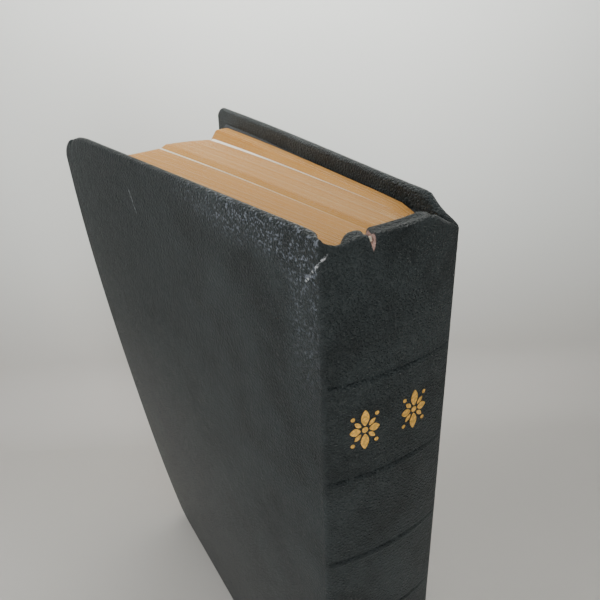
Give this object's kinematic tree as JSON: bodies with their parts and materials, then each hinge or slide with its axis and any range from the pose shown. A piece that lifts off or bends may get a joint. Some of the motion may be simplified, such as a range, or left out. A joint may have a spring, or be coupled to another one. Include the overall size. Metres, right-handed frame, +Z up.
{
  "type": "bible",
  "caption": "Leather-bound bible standing on its tail: limp covers, rounded tooled spine and sewn gilt-edged leaves that open at hinges.",
  "frame": {"origin": "under the middle of the standing book, on the surface it stands on", "axes": "+Z up the book from tail to head, +X towards the spine, -Y towards the front cover"},
  "size_m": [0.1335, 0.054, 0.187],
  "materials": {
    "leather": "grained, worn satin",
    "card": "matte",
    "endpaper": "matte",
    "leaves": "thin paper with gilt edges",
    "lining_paper": "matte",
    "mull_cloth": "open weave",
    "tape_cloth": "woven",
    "thread": "twisted linen",
    "cord": "twisted",
    "gilt": "hot-stamped foil"
  },
  "bodies": {
    "middle_leaves": {"section_13": "leaves", "section_14": "leaves", "section_15": "leaves", "section_16": "leaves", "section_17": "leaves", "section_18": "leaves", "section_19": "leaves", "section_20": "leaves", "section_21": "leaves", "middle_spine_leather": "leather", "middle_spine_lining": "lining_paper", "middle_mull": "mull_cloth", "middle_sewing_tapes": "tape_cloth", "middle_kettle_thread": "thread", "middle_cap_cords": "cord", "middle_gilt_ornament": "gilt"},
    "front_leaves": {"section_01": "leaves", "section_02": "leaves", "section_03": "leaves", "section_04": "leaves", "section_05": "leaves", "section_06": "leaves", "section_07": "leaves", "section_08": "leaves", "section_09": "leaves", "section_10": "leaves", "section_11": "leaves", "section_12": "leaves", "front_spine_leather": "leather", "front_spine_lining": "lining_paper", "front_mull": "mull_cloth", "front_sewing_tapes": "tape_cloth", "front_kettle_thread": "thread", "front_cap_cords": "cord", "front_gilt_ornament": "gilt"},
    "back_leaves": {"section_22": "leaves", "section_23": "leaves", "section_24": "leaves", "back_spine_leather": "leather", "back_spine_lining": "lining_paper", "back_mull": "mull_cloth", "back_sewing_tapes": "tape_cloth", "back_kettle_thread": "thread", "back_cap_cords": "cord"},
    "front_flyleaf": {"front_flyleaf": "endpaper"},
    "back_flyleaf": {"back_flyleaf": "endpaper"},
    "front_cover": {"front_cover_leather": "leather", "front_board": "card", "front_infill": "card", "front_pastedown": "endpaper"},
    "back_cover": {"back_cover_leather": "leather", "back_board": "card", "back_infill": "card", "back_pastedown": "endpaper"}
  },
  "joints": [
    {"name": "front_leaves_turn", "type": "hinge", "parent": "middle_leaves", "child": "front_leaves", "pos_m": [0.06674, 0.00389, 0.0935], "axis": [0, 0, 1], "range_deg": [0, 24]},
    {"name": "back_leaves_turn", "type": "hinge", "parent": "middle_leaves", "child": "back_leaves", "pos_m": [0.06578, 0.01487, 0.0935], "axis": [0, 0, -1], "range_deg": [0, 24]},
    {"name": "front_cover_hinge", "type": "hinge", "parent": "front_leaves", "child": "front_cover", "pos_m": [0.06105, -0.01369, 0.0935], "axis": [0, 0, 1], "range_deg": [0, 150]},
    {"name": "back_cover_hinge", "type": "hinge", "parent": "back_leaves", "child": "back_cover", "pos_m": [0.06105, 0.02147, 0.0935], "axis": [0, 0, -1], "range_deg": [0, 150]},
    {"name": "front_flyleaf_turn", "type": "hinge", "parent": "front_leaves", "child": "front_flyleaf", "pos_m": [0.06077, -0.01103, 0.0935], "axis": [0, 0, 1], "range_deg": [0, 75]},
    {"name": "back_flyleaf_turn", "type": "hinge", "parent": "back_leaves", "child": "back_flyleaf", "pos_m": [0.06093, 0.0188, 0.0935], "axis": [0, 0, -1], "range_deg": [0, 75]}
  ],
  "couplings": [
    {"joint": "front_flyleaf_turn", "follows": "front_cover_hinge", "ratio": 0.5},
    {"joint": "back_flyleaf_turn", "follows": "back_cover_hinge", "ratio": 0.5}
  ]
}
